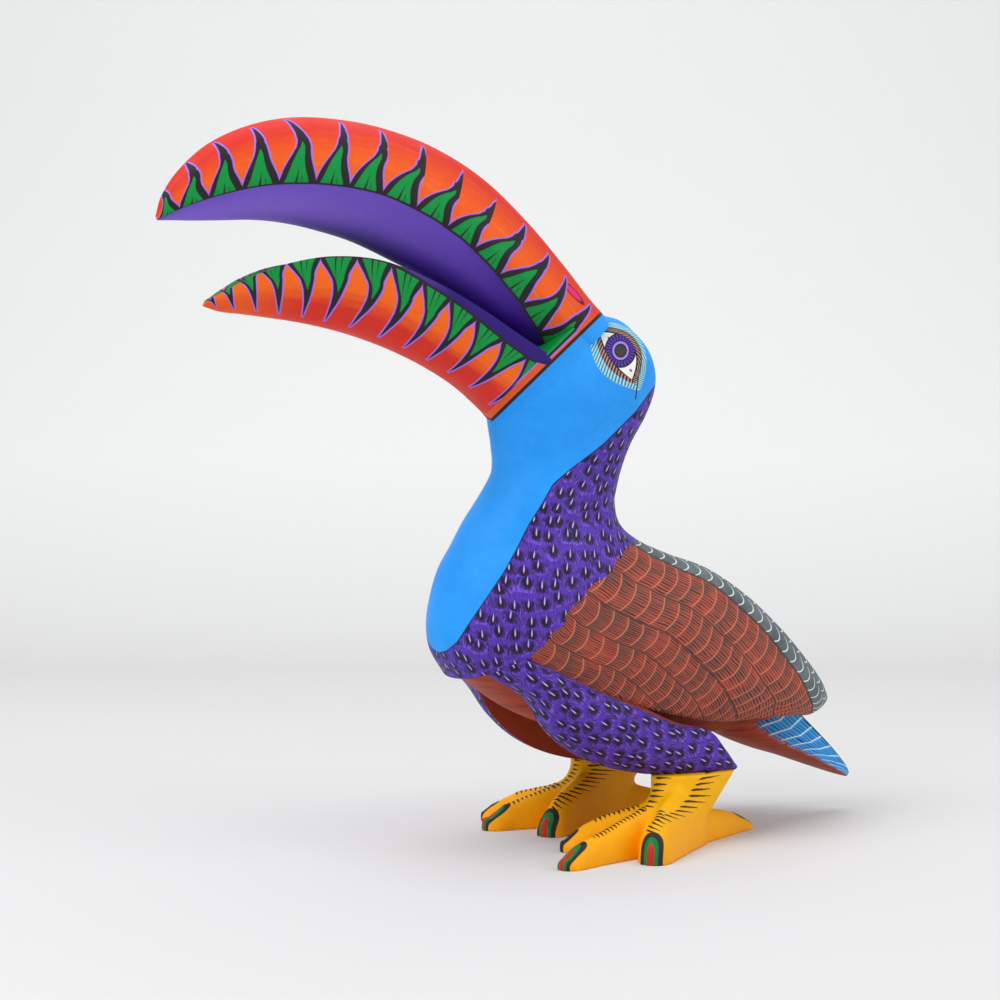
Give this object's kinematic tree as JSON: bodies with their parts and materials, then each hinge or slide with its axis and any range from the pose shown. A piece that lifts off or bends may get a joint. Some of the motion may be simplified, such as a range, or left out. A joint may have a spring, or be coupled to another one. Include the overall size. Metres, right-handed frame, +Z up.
{
  "type": "carved wooden bird figure",
  "caption": "Hand-carved, hand-painted wooden bird with a long open beak, folded wings and big yellow feet, made of carved blocks pegged and glued together.",
  "frame": {"origin": "on the ground, under the middle of the figure's bounding box", "axes": "+Z up, the bird faces -Y, its left side is +X"},
  "size_m": [0.1569, 0.4144, 0.3645],
  "materials": {
    "purple": "satin",
    "blue": "satin",
    "red": "satin",
    "brown": "satin",
    "tailblue": "satin",
    "yellow": "satin",
    "dowel": "satin"
  },
  "bodies": {
    "root": {"torso": "purple", "head_neck": "blue", "upper_beak": "red", "lower_beak": "red", "left_wing": "brown", "right_wing": "brown", "tail": "tailblue", "left_thigh": "purple", "right_thigh": "purple", "left_leg": "yellow", "right_leg": "yellow", "neck_dowels": "dowel", "beak_dowels": "dowel", "wing_pegs": "dowel", "tail_pegs": "dowel", "thigh_pegs": "dowel", "leg_pegs": "dowel"}
  },
  "joints": []
}
